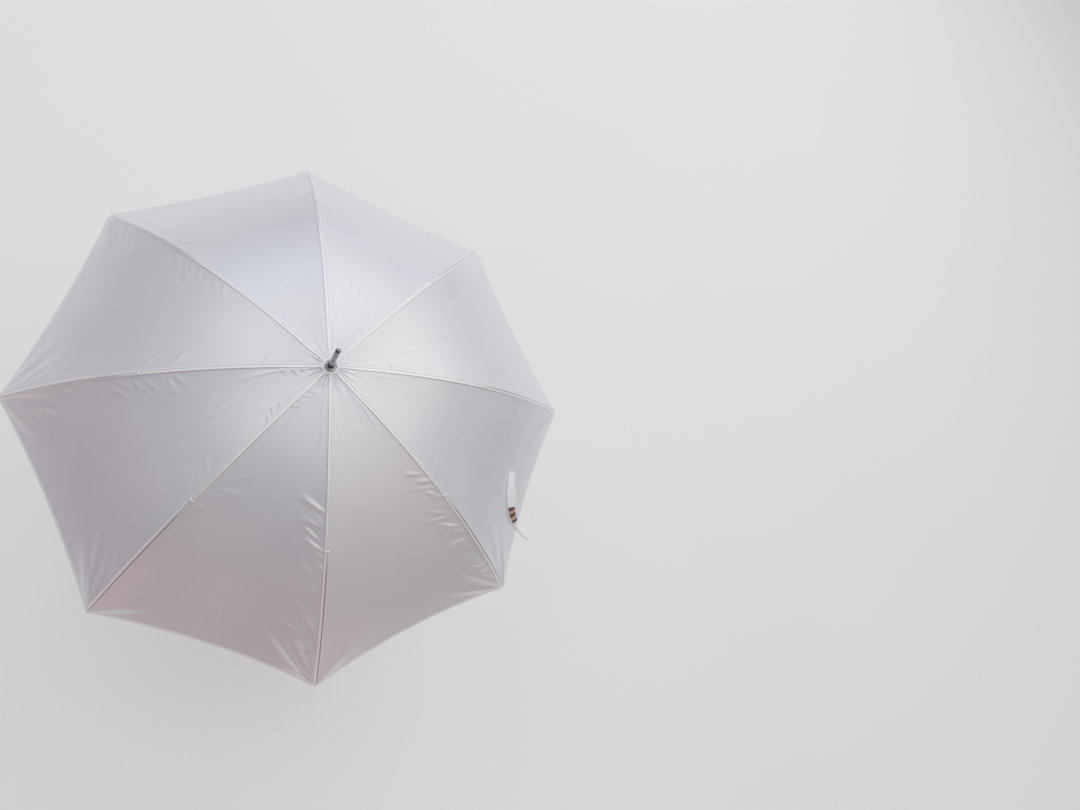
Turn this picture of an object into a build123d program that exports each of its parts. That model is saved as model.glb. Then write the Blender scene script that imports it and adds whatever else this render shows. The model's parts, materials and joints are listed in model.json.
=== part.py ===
"""Umbrella reflector: an eight-rib folding umbrella on a slim steel shaft.

The umbrella stands on its shaft, opened upwards: +Z is the shaft axis towards the ferrule, and the
origin is on that axis, in the middle of the bare length of shaft that a stand's bracket grips.
Rib 1 lies over +X and the others follow every 45 degrees, anticlockwise seen from above.

Each rib is a circular arc that turns on the crown's ring wire. A stretcher runs from a clip under the
rib to the runner, and is exactly as long as the straight distance from the crown's wire to the clip.
Crown wire, clip and runner wire are therefore an isosceles triangle at every moment of the fold: while
a rib turns down by some angle its stretcher turns back by twice as much, and the runner slides straight
down the shaft without turning.
"""

import os
from math import atan2, cos, degrees, hypot, radians, sin, tan

from build123d import *

# ---------------------------------------------------------------------------------------------------
# Driving dimensions, in millimetres and degrees
# ---------------------------------------------------------------------------------------------------
rib_count = 8
canopy_radius = 420.0  # from the shaft axis to the rib tips
crown_height = 186.0  # from the rib tips up to the crown's pivots
crown_slope = 3.5  # how steeply a rib already falls where it leaves the crown
fold_angle = 64.0  # how far a rib turns from open to closed

shaft_diameter = 8.0
shaft_wall = 0.7
shaft_below = 505.0  # from the crown's pivots down to the shaft's lower end
grip_height = 140.0  # from the shaft's lower end up to the origin
ferrule_length = 52.0  # shaft that shows above the collar
crimp_above_grip = 105.0  # the crimped groove that ends the bare grip, above the origin
crimp_width = 2.0
crimp_depth = 0.3

pivot_ring = 9.0  # radius of both ring wires, crown and runner
wire_diameter = 1.2
eye_radius = 1.8  # outer radius of a rib's or stretcher's eye
eye_play = 0.7  # how much wider the eye's hole is than the ring wire it passes
blade_width = 2.4  # thickness of the flattened ends that carry the eyes

rib_width = 3.0
rib_depth = 2.6
rib_wall = 0.5
stretcher_width = 2.6
stretcher_depth = 2.4
stretcher_wall = 0.45
stretcher_share = 0.49  # how far out along the rib the stretcher's clip sits
channel_start = 5.0  # the flattened end's length before the channel begins

clip_length = 9.0
clip_cheek = 0.7
clip_bridge = 0.4
clip_drop = 3.4  # the clip's rivet below the rib's middle line
rivet_diameter = 1.6
rivet_head = 2.6
rivet_head_height = 0.45

tip_wall = 0.5
tip_sleeve = 10.0
tip_play = 0.23  # between the rib's corners and the tip's bore

hub_rim = 3.0  # how far a hub reaches outside its ring wire
hub_above = 2.8  # the crown hub's top above the pivots
hub_below = 3.2
slot_play = 0.4  # on each side of an eye in its slot

runner_wall = 4.0
runner_flange_half = 3.2
runner_sleeve = 34.0
stop_pin_diameter = 2.0
stop_pin_length = 11.0

latch_reach = 2.0  # how far the latch's nose stands out of the shaft
latch_width = 2.0
latch_leaf = 0.6
latch_leaf_length = 34.0
latch_nose_height = 12.0
latch_nose_land = 1.2
latch_leaf_inside = 0.5  # the leaf's outer face, inside the tube's inner wall

collar_wall = 4.8  # how far the collar reaches outside the shaft
collar_height = 5.0
collar_recess_width = 2.4
collar_recess_depth = 1.6
collar_chamfer = 1.0
seal_width = 1.3
seal_height = 1.5
nose_lip = 0.2  # how far the nose stands out past the shaft's wall
nose_height = 5.0
nose_stem = 8.0
nose_ring_height = 1.0
plug_stem = 12.0
plug_button = 3.0

cloth_thickness = 0.8
patch_overlap = 2.0  # how far the crown patch reaches past the hub
cloth_start = 0.016  # share of the rib's arc where the gores begin
scallop = 20.0  # depth of the hem's curve between two tips
strap_width = 16.0
strap_thickness = 1.0
strap_top = (0.83, -24.5)  # share of the arc, and degrees round from +X
strap_end = (0.945, -31.5)
strap_lift = 2.6

# Clearances
run_gap = 0.3  # between pieces that pass each other
slide_gap = 0.15  # runner on shaft, all round
seat_gap = 0.02  # pieces that seat on or in each other
rivet_gap = 0.05
sew_gap = 0.4  # between neighbouring gores' cloth

# ---------------------------------------------------------------------------------------------------
# Places that follow from them
# ---------------------------------------------------------------------------------------------------
pitch = 360 / rib_count
half_pitch = pitch / 2
shaft_radius = shaft_diameter / 2
shaft_inside = shaft_radius - shaft_wall
shaft_bottom = -grip_height
crown_z = shaft_below - grip_height
hub_radius = pivot_ring + hub_rim
slot_width = blade_width + 2 * slot_play
slot_floor = pivot_ring - eye_radius - run_gap  # radius of the core left between the slots
eye_hole = wire_diameter + eye_play
tip_bore = hypot(rib_width, rib_depth) + tip_play
tip_radius = tip_bore / 2 + tip_wall
runner_radius = shaft_radius + runner_wall
collar_radius = shaft_radius + collar_wall
collar_recess_radius = shaft_radius + collar_recess_width
seal_radius = shaft_radius + seal_width
nose_radius = shaft_radius + nose_lip
patch_radius = hub_radius + patch_overlap

# The rib's arc runs from the crown's pivot to the tip, and its middle line leaves at crown_slope.
rib_reach = canopy_radius - pivot_ring
rib_chord = hypot(rib_reach, crown_height)
rib_turn = 2 * (degrees(atan2(crown_height, rib_reach)) - crown_slope)
arc_radius = rib_chord / (2 * sin(radians(rib_turn / 2)))
arc_x = pivot_ring - arc_radius * sin(radians(crown_slope))
arc_z = crown_z - arc_radius * cos(radians(crown_slope))
arc_length = arc_radius * radians(rib_turn)


def arc_angle(share):
    """The rib's slope below level, in degrees, at a share of its length."""
    return crown_slope + share * rib_turn


def on_arc(share, above=0.0):
    """The (radius, height) of a point that far above the rib's middle line."""
    angle = radians(arc_angle(share))
    return (
        arc_x + (arc_radius + above) * sin(angle),
        arc_z + (arc_radius + above) * cos(angle),
    )


def along(length):
    """A length along the rib as a share of it."""
    return length / arc_length


def rib_frame(share):
    """The plane across the rib at a share of its length: X is sideways, Y is outwards."""
    radius, height = on_arc(share)
    angle = radians(arc_angle(share))
    return Plane(
        origin=(radius, 0, height), x_dir=(0, 1, 0), z_dir=(cos(angle), 0, -sin(angle))
    )


def side_frame(share):
    """The rib's own middle plane at a share of its length: X is along the rib, Y is outwards."""
    radius, height = on_arc(share)
    angle = radians(arc_angle(share))
    return Plane(
        origin=(radius, 0, height), x_dir=(cos(angle), 0, -sin(angle)), z_dir=(0, -1, 0)
    )


# The stretcher's clip, and the runner that the isosceles triangle puts straight below the crown.
clip_x, clip_z = on_arc(stretcher_share, -clip_drop)
stretcher_length = hypot(clip_x - pivot_ring, crown_z - clip_z)
stretcher_angle = degrees(atan2(crown_z - clip_z, clip_x - pivot_ring))
runner_z = 2 * clip_z - crown_z

hub_top = crown_z + hub_above
hub_bottom = crown_z - hub_below
patch_top = hub_top + cloth_thickness
collar_top = patch_top + collar_height
shaft_top = collar_top + ferrule_length
sleeve_bottom = runner_z - runner_flange_half - runner_sleeve
latch_top = sleeve_bottom - run_gap
latch_nose_radius = shaft_radius + latch_reach
leaf_outside = shaft_inside - latch_leaf_inside
stop_pin_z = runner_z + runner_flange_half + run_gap + stop_pin_diameter / 2
tip_turn_back = along(tip_radius + run_gap)
clip_slot = blade_width + 2 * run_gap + seat_gap
clip_width = clip_slot + 2 * clip_cheek
# The cloth falls away to both sides of a rib, so it stands off by what it falls over half a clip.
cloth_fall = clip_width / 2 * tan(radians(half_pitch)) * sin(radians(arc_angle(stretcher_share)))
cloth_low = rib_depth / 2 + clip_bridge + cloth_fall + run_gap
cloth_high = cloth_low + cloth_thickness

rib_plane_axis = Axis((arc_x, 0, arc_z), (0, 1, 0))


def save(part, name):
    """Label one finished piece and write it."""
    part.label = name
    export_step(part, f"parts/{name}.step")


def save_ring(part, name):
    """Write the piece made over +X once for each rib, turned to its place."""
    for index in range(rib_count):
        save(part.rotate(Axis.Z, index * pitch), f"{name}_{index + 1}")


os.makedirs("parts", exist_ok=True)

# ---------------------------------------------------------------------------------------------------
# Shaft: a steel tube from the grip's end to the ferrule
# ---------------------------------------------------------------------------------------------------
with BuildPart() as shaft_tube:
    with BuildSketch(Plane.XY.offset(shaft_bottom)):
        Circle(shaft_radius)
        Circle(shaft_inside, mode=Mode.SUBTRACT)
    extrude(amount=shaft_top - shaft_bottom)
    # the rolled crimp that holds the latch spring's tail, and ends the bare grip
    with BuildSketch(Plane.XY.offset(crimp_above_grip)):
        Circle(shaft_radius + run_gap)
        Circle(shaft_radius - crimp_depth, mode=Mode.SUBTRACT)
    extrude(amount=crimp_width, mode=Mode.SUBTRACT)
    # the window for the latch's nose
    window_height = latch_nose_height + 2 * run_gap
    with Locations(Rotation(0, 0, half_pitch)):
        with Locations((shaft_radius, 0, latch_top + run_gap - window_height / 2)):
            Box(shaft_radius, latch_width + 2 * run_gap, window_height, mode=Mode.SUBTRACT)
    # the cross hole for the stop pin
    with BuildSketch(Plane.XZ):
        with Locations((0, stop_pin_z)):
            Circle(stop_pin_diameter / 2)
    extrude(amount=shaft_diameter, both=True, mode=Mode.SUBTRACT)
save(shaft_tube.part, "shaft_tube")

with BuildPart() as stop_pin:
    with BuildSketch(Plane.XZ):
        with Locations((0, stop_pin_z)):
            Circle(stop_pin_diameter / 2 - seat_gap)
    extrude(amount=stop_pin_length / 2, both=True)
    fillet(stop_pin.edges().filter_by(GeomType.CIRCLE), 0.3)
save(stop_pin.part, "stop_pin")

with BuildPart() as end_plug:
    with BuildSketch(Plane.XY.offset(shaft_bottom)):
        Circle(shaft_inside - seat_gap)
    extrude(amount=plug_stem)
    with BuildSketch(Plane.XY.offset(shaft_bottom)):
        Circle(shaft_radius - run_gap)
    extrude(amount=-plug_button)
    fillet(end_plug.faces().sort_by(Axis.Z)[0].edges(), plug_button * 0.6)
save(end_plug.part, "end_plug")

# ---------------------------------------------------------------------------------------------------
# Ferrule: a dark gasket ring and a rounded nose plugged into the shaft's top
# ---------------------------------------------------------------------------------------------------
with BuildPart() as ferrule_ring:
    with BuildSketch(Plane.XY.offset(shaft_top)):
        Circle(shaft_radius - 2 * run_gap)
        Circle(shaft_inside - 2 * run_gap, mode=Mode.SUBTRACT)
    extrude(amount=nose_ring_height)
save(ferrule_ring.part, "ferrule_ring")

with BuildPart() as ferrule_nose:
    with BuildSketch(Plane.XY.offset(shaft_top + nose_ring_height)):
        Circle(nose_radius)
    extrude(amount=nose_height)
    fillet(ferrule_nose.faces().sort_by(Axis.Z)[-1].edges(), nose_height * 0.7)
    with BuildSketch(Plane.XY.offset(shaft_top + nose_ring_height)):
        Circle(shaft_inside - 2 * run_gap - seat_gap)
    extrude(amount=-(nose_stem + nose_ring_height))
save(ferrule_nose.part, "ferrule_nose")

# ---------------------------------------------------------------------------------------------------
# Crown: slotted hub with its ring wire, cloth patch, collar and the seal round the shaft
# ---------------------------------------------------------------------------------------------------
groove_floor = pivot_ring - wire_diameter / 2 - seat_gap
groove_height = wire_diameter + 2 * seat_gap


def slotted_hub(low, high, bore, pivot_height):
    """A disc with a groove for its ring wire and a slot for each eye that turns on the wire."""
    with BuildPart() as hub:
        with BuildSketch(Plane.XY.offset(low)):
            Circle(hub_radius)
            Circle(bore, mode=Mode.SUBTRACT)
        extrude(amount=high - low)
        with BuildSketch(Plane.XY.offset(pivot_height - groove_height / 2)):
            Circle(hub_radius + 1)
            Circle(groove_floor, mode=Mode.SUBTRACT)
        extrude(amount=groove_height, mode=Mode.SUBTRACT)
        slot_length = hub_radius + 1 - slot_floor
        with BuildSketch(Plane.XY.offset(low)):
            with PolarLocations(slot_floor + slot_length / 2, rib_count):
                Rectangle(slot_length, slot_width)
        extrude(amount=high - low, mode=Mode.SUBTRACT)
    return hub.part


save(slotted_hub(hub_bottom, hub_top, shaft_radius + seat_gap, crown_z), "crown_hub")

with BuildPart() as crown_wire:
    with BuildSketch(Plane.XZ):
        with Locations((pivot_ring, crown_z)):
            Circle(wire_diameter / 2)
    revolve(axis=Axis.Z)
save(crown_wire.part, "crown_wire")

with BuildPart() as crown_patch:
    with BuildSketch(Plane.XY.offset(hub_top)):
        Circle(patch_radius)
        Circle(shaft_radius + seat_gap, mode=Mode.SUBTRACT)
    extrude(amount=cloth_thickness)
save(crown_patch.part, "crown_patch")

with BuildPart() as collar:
    with BuildSketch(Plane.XY.offset(patch_top)):
        Circle(collar_radius)
        Circle(shaft_radius + seat_gap, mode=Mode.SUBTRACT)
    extrude(amount=collar_height)
    rim = collar.edges().filter_by(GeomType.CIRCLE).group_by(Axis.Z)[-1].sort_by(SortBy.RADIUS)[-1]
    chamfer(rim, collar_chamfer)
    with BuildSketch(Plane.XY.offset(collar_top)):
        Circle(collar_recess_radius)
    extrude(amount=-collar_recess_depth, mode=Mode.SUBTRACT)
save(collar.part, "collar")

with BuildPart() as collar_seal:
    with BuildSketch(Plane.XY.offset(collar_top - collar_recess_depth)):
        Circle(seal_radius)
        Circle(shaft_radius + seat_gap, mode=Mode.SUBTRACT)
    extrude(amount=seal_height)
save(collar_seal.part, "collar_seal")

# ---------------------------------------------------------------------------------------------------
# Runner: a slotted flange on a sleeve that slides on the shaft, with its own ring wire
# ---------------------------------------------------------------------------------------------------
bore = shaft_radius + slide_gap
runner_flange = slotted_hub(
    runner_z - runner_flange_half, runner_z + runner_flange_half, bore, runner_z
)
with BuildPart() as runner:
    add(runner_flange)
    with BuildSketch(Plane.XY.offset(runner_z - runner_flange_half)):
        Circle(runner_radius)
        Circle(bore, mode=Mode.SUBTRACT)
    extrude(amount=-runner_sleeve)
    sleeve_lip = runner.faces().sort_by(Axis.Z)[0].edges().sort_by(SortBy.RADIUS)[-1]
    fillet(sleeve_lip, 1.0)
    # a keyway the full length lets the runner pass the latch's nose
    keyway_radius = latch_nose_radius + run_gap
    with Locations(Rotation(0, 0, half_pitch)):
        with Locations((keyway_radius / 2, 0, runner_z - runner_sleeve / 2)):
            Box(
                keyway_radius,
                latch_width + 2 * run_gap,
                runner_sleeve + 4 * runner_flange_half,
                mode=Mode.SUBTRACT,
            )
save(runner.part, "runner")

with BuildPart() as runner_wire:
    with BuildSketch(Plane.XZ):
        with Locations((pivot_ring, runner_z)):
            Circle(wire_diameter / 2)
    revolve(axis=Axis.Z)
save(runner_wire.part, "runner_wire")

# ---------------------------------------------------------------------------------------------------
# Latch: a leaf inside the shaft whose nose stands out below the open runner
# ---------------------------------------------------------------------------------------------------
with BuildPart() as latch_spring:
    with BuildSketch(Plane.XZ):
        with BuildLine():
            Polyline(
                (leaf_outside - latch_leaf, latch_top - latch_leaf_length),
                (leaf_outside - latch_leaf, latch_top),
                (latch_nose_radius, latch_top),
                (latch_nose_radius, latch_top - latch_nose_land),
                (leaf_outside, latch_top - latch_nose_height),
                (leaf_outside, latch_top - latch_leaf_length),
                close=True,
            )
        make_face()
    extrude(amount=latch_width / 2, both=True)
save(latch_spring.part.rotate(Axis.Z, half_pitch), "latch_spring")

# ---------------------------------------------------------------------------------------------------
# Ribs: curved steel channels, flattened to an eye at the crown
# ---------------------------------------------------------------------------------------------------
with BuildPart() as rib:
    channel_from = along(channel_start)
    channel_to = 1 - tip_turn_back
    with BuildSketch(rib_frame(channel_from)):
        Rectangle(rib_width, rib_depth)
        with Locations((0, -rib_wall)):
            Rectangle(rib_width - 2 * rib_wall, rib_depth, mode=Mode.SUBTRACT)
    revolve(axis=rib_plane_axis, revolution_arc=(channel_to - channel_from) * rib_turn)
    with BuildSketch(side_frame(0)):
        Circle(eye_radius)
        blade_end = channel_start + rib_depth
        with Locations((blade_end / 2, 0)):
            Rectangle(blade_end, rib_depth - 2 * rib_wall)
        Circle(eye_hole / 2, mode=Mode.SUBTRACT)
    extrude(amount=blade_width / 2, both=True)
save_ring(rib.part, "rib")

with BuildPart() as rib_tip:
    with BuildSketch(rib_frame(1)):
        Circle(tip_radius)
    extrude(amount=-tip_sleeve)
    with Locations(rib_frame(1)):
        Sphere(tip_radius)
    with BuildSketch(rib_frame(1).offset(-tip_radius)):
        Circle(tip_bore / 2)
    extrude(amount=-tip_sleeve, mode=Mode.SUBTRACT)
save_ring(rib_tip.part, "rib_tip")

# ---------------------------------------------------------------------------------------------------
# Clips: a saddle over the rib, and the rivet that the stretcher turns on
# ---------------------------------------------------------------------------------------------------
with BuildPart() as clip:
    cheek_top = rib_depth / 2 + clip_bridge
    with BuildSketch(side_frame(stretcher_share)):
        with Locations((0, cheek_top)):
            Rectangle(clip_length, cheek_top + rib_depth / 2, align=(Align.CENTER, Align.MAX))
        with Locations((0, -clip_drop)):
            Circle(eye_radius + rivet_gap)
            Rectangle(2 * eye_radius, clip_drop, align=(Align.CENTER, Align.MIN))
        with Locations((0, -clip_drop)):
            Circle(rivet_diameter / 2, mode=Mode.SUBTRACT)
    extrude(amount=clip_width / 2, both=True)
    with BuildSketch(side_frame(stretcher_share)):
        with Locations((0, rib_depth / 2)):
            Rectangle(2 * clip_length, 4 * clip_drop, align=(Align.CENTER, Align.MAX))
    extrude(amount=clip_slot / 2, both=True, mode=Mode.SUBTRACT)

with BuildPart() as rivet:
    with BuildSketch(side_frame(stretcher_share)):
        with Locations((0, -clip_drop)):
            Circle(rivet_diameter / 2)
    extrude(amount=clip_width / 2, both=True)
    for side in (1, -1):
        with BuildSketch(side_frame(stretcher_share).offset(side * clip_width / 2)):
            with Locations((0, -clip_drop)):
                Circle(rivet_head / 2)
        extrude(amount=side * rivet_head_height)
save_ring(Compound(children=[clip.part, rivet.part]), "rib_clip")

# ---------------------------------------------------------------------------------------------------
# Stretchers: straight channels with an eye at the rivet and one at the runner's wire
# ---------------------------------------------------------------------------------------------------
stretcher_side = Plane(
    origin=(clip_x, 0, clip_z),
    x_dir=(-cos(radians(stretcher_angle)), 0, -sin(radians(stretcher_angle))),
    z_dir=(0, 1, 0),
)
with BuildPart() as stretcher:
    middle = (stretcher_length / 2, 0)
    with BuildSketch(stretcher_side):
        with Locations(middle):
            Rectangle(stretcher_length - 2 * channel_start, stretcher_depth)
    extrude(amount=stretcher_width / 2, both=True)
    with BuildSketch(stretcher_side):
        with Locations((stretcher_length / 2, stretcher_wall)):
            Rectangle(stretcher_length, stretcher_depth)
    extrude(amount=stretcher_width / 2 - stretcher_wall, both=True, mode=Mode.SUBTRACT)
    blade_end = channel_start + stretcher_depth
    with BuildSketch(stretcher_side):
        for eye, inwards in ((0, 1), (stretcher_length, -1)):
            with Locations((eye, 0)):
                Circle(eye_radius)
            with Locations((eye + inwards * blade_end / 2, 0)):
                Rectangle(blade_end, stretcher_depth - 2 * stretcher_wall)
        Circle(rivet_diameter / 2 + rivet_gap, mode=Mode.SUBTRACT)
        with Locations((stretcher_length, 0)):
            Circle(eye_hole / 2, mode=Mode.SUBTRACT)
    extrude(amount=blade_width / 2, both=True)
save_ring(stretcher.part, "stretcher")

# ---------------------------------------------------------------------------------------------------
# Canopy: one piece of cloth for each rib, reaching half a gore to either side
# ---------------------------------------------------------------------------------------------------
corner_share = 1 - along(tip_sleeve + run_gap)
valley_share = 1 - along(scallop)
curve_points = 8


def seam_sketch():
    """The cloth's section over the rib."""
    middle_share = (cloth_start + corner_share) / 2
    with BuildSketch(Plane.XZ) as section:
        with BuildLine():
            ThreePointArc(*(on_arc(s, cloth_low) for s in (cloth_start, middle_share, corner_share)))
            Line(on_arc(corner_share, cloth_low), on_arc(corner_share, cloth_high))
            ThreePointArc(*(on_arc(s, cloth_high) for s in (corner_share, middle_share, cloth_start)))
            Line(on_arc(cloth_start, cloth_high), on_arc(cloth_start, cloth_low))
        make_face()
    return section.sketch


def valley_point(share, above):
    """Midway between two ribs the cloth runs straight across, so it lies nearer the shaft."""
    radius, height = on_arc(share, above)
    return (radius * cos(radians(half_pitch)), height)


def valley_sketch(side):
    """The cloth's section halfway to the next rib, a sewing gap short of the neighbour's."""
    turn = radians(side * half_pitch)
    towards_rib = (sin(turn) * side, -cos(turn) * side)
    origin = (towards_rib[0] * sew_gap / 2, towards_rib[1] * sew_gap / 2, 0)
    plane = Plane(origin=origin, x_dir=(cos(turn), sin(turn), 0), z_dir=(sin(turn), -cos(turn), 0))
    step = (valley_share - cloth_start) / curve_points
    shares = [cloth_start + step * i for i in range(curve_points + 1)]
    low = [valley_point(s, cloth_low) for s in shares]
    high = [valley_point(s, cloth_high) for s in reversed(shares)]
    with BuildSketch(plane) as section:
        with BuildLine():
            Spline(*low)
            Line(low[-1], high[0])
            Spline(*high)
            Line(high[-1], low[0])
        make_face()
    return section.sketch


seam = seam_sketch()
valleys = [valley_sketch(side) for side in (1, -1)]
with BuildPart() as canopy:
    for valley in valleys:
        loft([seam, valley], ruled=True)
save_ring(canopy.part, "canopy")


# ---------------------------------------------------------------------------------------------------
# Tie strap: a flat strap sewn to the cloth near the hem, lying on it
# ---------------------------------------------------------------------------------------------------
def on_cloth(share, azimuth):
    """A point on the cloth's outer face, at a share of the arc and an angle round from +X."""
    seam = round(azimuth / pitch) * pitch
    radius, height = on_arc(share, cloth_high)
    towards_valley = half_pitch - abs(azimuth - seam)
    distance = radius * cos(radians(half_pitch)) / cos(radians(towards_valley))
    return Vector(distance * cos(radians(azimuth)), distance * sin(radians(azimuth)), height)


strap_from = on_cloth(*strap_top)
strap_to = on_cloth(*strap_end)
strap_run = strap_to - strap_from
downhill = on_cloth(strap_end[0], strap_top[1]) - strap_from
strap_normal = strap_run.cross(downhill).normalized()
strap_normal = strap_normal if strap_normal.Z > 0 else -strap_normal
strap_middle = (strap_from + strap_to) * 0.5 + strap_normal * strap_lift
with BuildPart() as tie_strap:
    with BuildSketch(Plane(origin=strap_middle, x_dir=strap_run, z_dir=strap_normal)):
        RectangleRounded(strap_run.length, strap_width, strap_width / 5)
    extrude(amount=strap_thickness)
save(tie_strap.part, "tie_strap")

print(f"rib arc {arc_length:.1f} long, radius {arc_radius:.1f}, turning {rib_turn:.2f} degrees")
print(f"stretcher {stretcher_length:.2f} long, runner pivots at {runner_z:.2f}, crown at {crown_z:.2f}")
print(f"strap {strap_run.length:.1f} long")
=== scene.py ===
# %% [markdown]
# # A folding umbrella reflector
#
# A studio umbrella is a shallow dome of white satin on eight steel ribs. The steelwork comes in as
# a fixed frame with every piece in its place. This lesson sews the canopy on it, gives each
# metal and plastic its surface, and sets a soft studio round it.
#
# Everything is in metres, +Z runs up the shaft to the ferrule, and rib 1 lies over +X.

# %% Load the frame
import json
from math import atan2, cos, hypot, radians, sin, tan

import bpy
import numpy as np
from mathutils import Matrix, Vector


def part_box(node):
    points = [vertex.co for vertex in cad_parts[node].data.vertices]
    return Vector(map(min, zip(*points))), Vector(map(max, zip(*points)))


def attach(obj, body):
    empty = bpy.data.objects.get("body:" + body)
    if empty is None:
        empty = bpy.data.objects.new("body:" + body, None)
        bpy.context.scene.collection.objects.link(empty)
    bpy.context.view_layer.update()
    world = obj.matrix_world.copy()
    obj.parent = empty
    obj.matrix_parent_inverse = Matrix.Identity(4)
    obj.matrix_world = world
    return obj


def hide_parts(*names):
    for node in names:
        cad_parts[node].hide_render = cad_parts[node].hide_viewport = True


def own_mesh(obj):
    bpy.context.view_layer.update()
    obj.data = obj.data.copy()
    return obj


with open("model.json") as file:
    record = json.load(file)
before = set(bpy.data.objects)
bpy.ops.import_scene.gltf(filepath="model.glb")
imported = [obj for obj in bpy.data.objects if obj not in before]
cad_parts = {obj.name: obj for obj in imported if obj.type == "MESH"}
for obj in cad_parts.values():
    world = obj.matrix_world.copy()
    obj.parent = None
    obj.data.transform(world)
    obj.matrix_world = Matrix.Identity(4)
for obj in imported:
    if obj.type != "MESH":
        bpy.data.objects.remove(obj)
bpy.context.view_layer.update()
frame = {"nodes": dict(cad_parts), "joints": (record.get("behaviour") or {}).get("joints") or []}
joints = {joint["name"]: joint for joint in frame["joints"]}
MM = 0.001
RIBS = 8
PITCH = 360 / RIBS
HALF_PITCH = radians(PITCH / 2)

# %% [markdown]
# The ribs are arcs of one circle, from the ring wire in the crown to the tips. Three places fix
# that arc: the pivot, the tip, and how steeply the rib leaves the crown. Taking the pivot and the
# tip from the frame means the cloth fits the steel without any nudging.

# %% The rib's arc
TIP_BALL = 2.6 * MM
CROWN_SLOPE = radians(3.5)
pivot_radius, crown_height = joints["fold"]["pos_m"][0], joints["fold"]["pos_m"][2]
tip_low, tip_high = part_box("rib_tip_1")
rim_radius, rim_height = tip_high.x - TIP_BALL, tip_low.z + TIP_BALL
reach, drop = rim_radius - pivot_radius, crown_height - rim_height
RIB_TURN = 2 * (atan2(drop, reach) - CROWN_SLOPE)
ARC_RADIUS = hypot(reach, drop) / (2 * sin(RIB_TURN / 2))
RIB_LENGTH = ARC_RADIUS * RIB_TURN


def rib_slope(share):
    """The rib falls evenly steeper: its slope is the crown's plus the whole turn times the share."""
    return CROWN_SLOPE + share * RIB_TURN


def rib_arc(share, above=0.0):
    """A point on a circle: the centre plus the radius (and what lies above it) at the slope's angle."""
    angle = rib_slope(share)
    radius = pivot_radius + (ARC_RADIUS + above) * np.sin(angle) - ARC_RADIUS * sin(CROWN_SLOPE)
    height = crown_height + (ARC_RADIUS + above) * np.cos(angle) - ARC_RADIUS * cos(CROWN_SLOPE)
    return radius, height


print(f"rib {RIB_LENGTH / MM:.1f} mm long, rim radius {rim_radius / MM:.1f}, rim at {rim_height / MM:.1f}")

# %% [markdown]
# The camera looks down on the crown from the front, a little to the left of the shaft, and
# leans so that the ferrule points up and slightly right. Its three axes and its place fix
# it completely, which is steadier than aiming it and then rolling it by eye.

# %% Camera
CAMERA_PLACE = (-0.1916, -0.4091, rim_height + 1.3160)
CAMERA_RIGHT = Vector((0.9201, -0.0905, 0.3811))
CAMERA_UP = Vector((-0.0279, 0.9553, 0.2942))
lens = bpy.data.cameras.new("studio_camera")
lens.lens, lens.sensor_width = 28.333, 36.0
camera = bpy.data.objects.new("studio_camera", lens)
camera_back = CAMERA_RIGHT.cross(CAMERA_UP).normalized()
camera_up = camera_back.cross(CAMERA_RIGHT).normalized()
turn = Matrix((CAMERA_RIGHT.normalized(), camera_up, camera_back)).transposed()
camera.matrix_world = Matrix.Translation(CAMERA_PLACE) @ turn.to_4x4()
bpy.context.scene.collection.objects.link(camera)
bpy.context.scene.camera = camera
print("camera", [round(v, 3) for v in CAMERA_PLACE])

# %% [markdown]
# Every new piece below is a grid of points worked out with numpy: rows run one way over the
# surface and columns the other, and each square of four neighbours becomes a face. Handing
# whole arrays to the mesh is far quicker than adding vertices one at a time.


# %% From a grid of points to a mesh
def join_grids(name, grids):
    """Make one piece from several grids, each (points, uv, wrap): wrap joins the last column to the first."""
    spots, maps, quads, first = [], [], [], 0
    for points, uv, wrap in grids:
        rows, columns = points.shape[:2]
        number = first + np.arange(rows * columns).reshape(rows, columns)
        if wrap:
            number = np.concatenate([number, number[:, :1]], axis=1)
        quads.append(
            np.stack([number[:-1, :-1], number[1:, :-1], number[1:, 1:], number[:-1, 1:]], -1).reshape(-1, 4)
        )
        spots.append(points.reshape(-1, 3))
        maps.append(uv.reshape(-1, 2))
        first += rows * columns
    spots, maps, quads = np.concatenate(spots), np.concatenate(maps), np.concatenate(quads)
    mesh = bpy.data.meshes.new(name)
    mesh.vertices.add(len(spots))
    mesh.vertices.foreach_set("co", spots.astype(np.float32).ravel())
    mesh.loops.add(quads.size)
    mesh.loops.foreach_set("vertex_index", quads.ravel().astype(np.int32))
    mesh.polygons.add(len(quads))
    mesh.polygons.foreach_set("loop_start", np.arange(0, quads.size, 4, dtype=np.int32))
    mesh.polygons.foreach_set("use_smooth", np.ones(len(quads), bool))
    layer = mesh.uv_layers.new(name="cloth_metres")
    layer.data.foreach_set("uv", maps[quads.ravel()].astype(np.float32).ravel())
    mesh.update(calc_edges=True)
    mesh.validate()
    piece = bpy.data.objects.new(name, mesh)
    bpy.context.scene.collection.objects.link(piece)
    return piece


def tube(centres, across, outwards, half_width, half_height, around=12):
    """A closed ribbon: an oval carried along the centres, its ends drawn together to close them."""
    angle = np.linspace(0, 2 * np.pi, around, endpoint=False)
    squeeze = np.ones(len(centres))
    squeeze[[0, -1]] = 0.02
    wide = np.cos(angle)[None, :, None] * across[:, None, :] * (half_width * squeeze)[:, None, None]
    tall = np.sin(angle)[None, :, None] * outwards[:, None, :] * (half_height * squeeze)[:, None, None]
    length = np.concatenate([[0], np.cumsum(np.linalg.norm(np.diff(centres, axis=0), axis=1))])
    uv = np.stack(np.broadcast_arrays(np.cos(angle)[None, :] * np.max(half_width), length[:, None]), -1)
    return centres[:, None, :] + wide + tall, uv, True


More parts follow.
